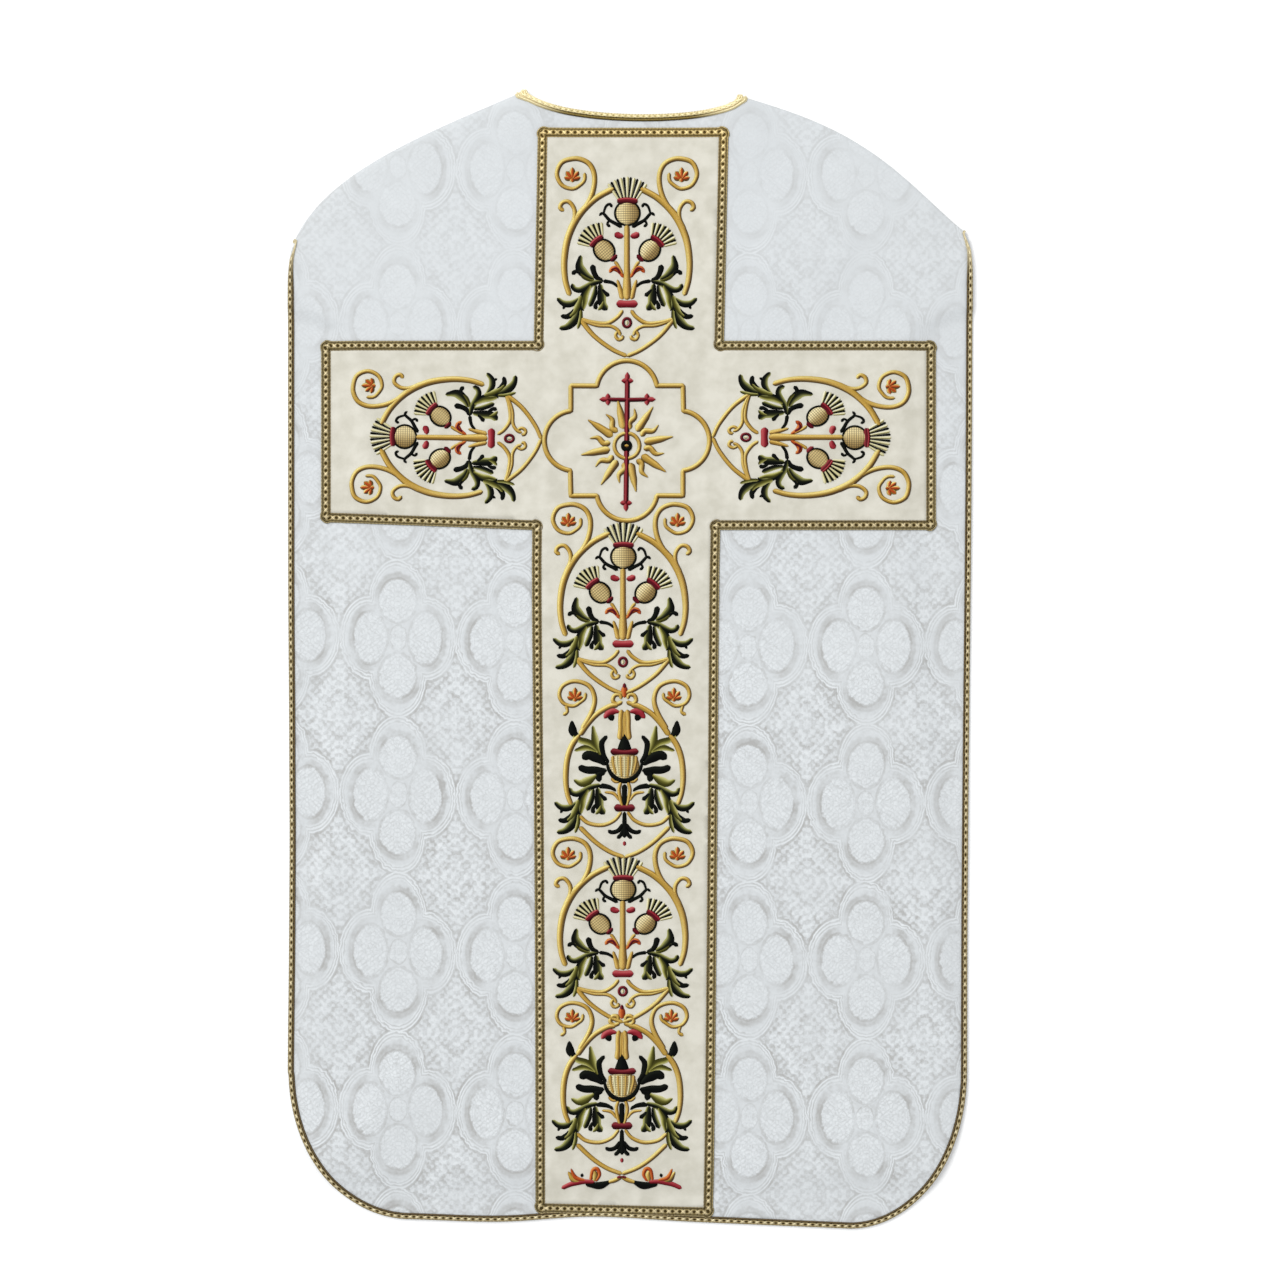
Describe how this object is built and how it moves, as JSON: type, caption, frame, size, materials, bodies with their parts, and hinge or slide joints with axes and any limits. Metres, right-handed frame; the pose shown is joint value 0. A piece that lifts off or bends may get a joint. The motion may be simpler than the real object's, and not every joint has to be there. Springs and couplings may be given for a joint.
{
  "type": "chasuble",
  "caption": "Fiddleback chasuble, a sleeveless church vestment, laid flat with its back up; rounded hem, cross-shaped orphrey on the back and braid along every edge.",
  "frame": {"origin": "centre of the bounding box's underside, on the surface the vestment lies on", "axes": "+X to the wearer's right, +Y from the hem to the neck, +Z out of the wearer's back, upwards"},
  "size_m": [0.685, 1.1396, 0.0109],
  "materials": {
    "brocade": "white silk damask with a soft sheen",
    "orphrey_silk": "ivory silk under raised embroidery",
    "gold_braid": "gold-thread galloon"
  },
  "bodies": {
    "root": {"back_panel": "brocade", "front_panel": "brocade", "orphrey_cross": "orphrey_silk", "cross_braid": "gold_braid", "edge_braid_back": "gold_braid", "neck_braid_back": "gold_braid", "edge_braid_front": "gold_braid", "neck_braid_front": "gold_braid"}
  },
  "joints": []
}
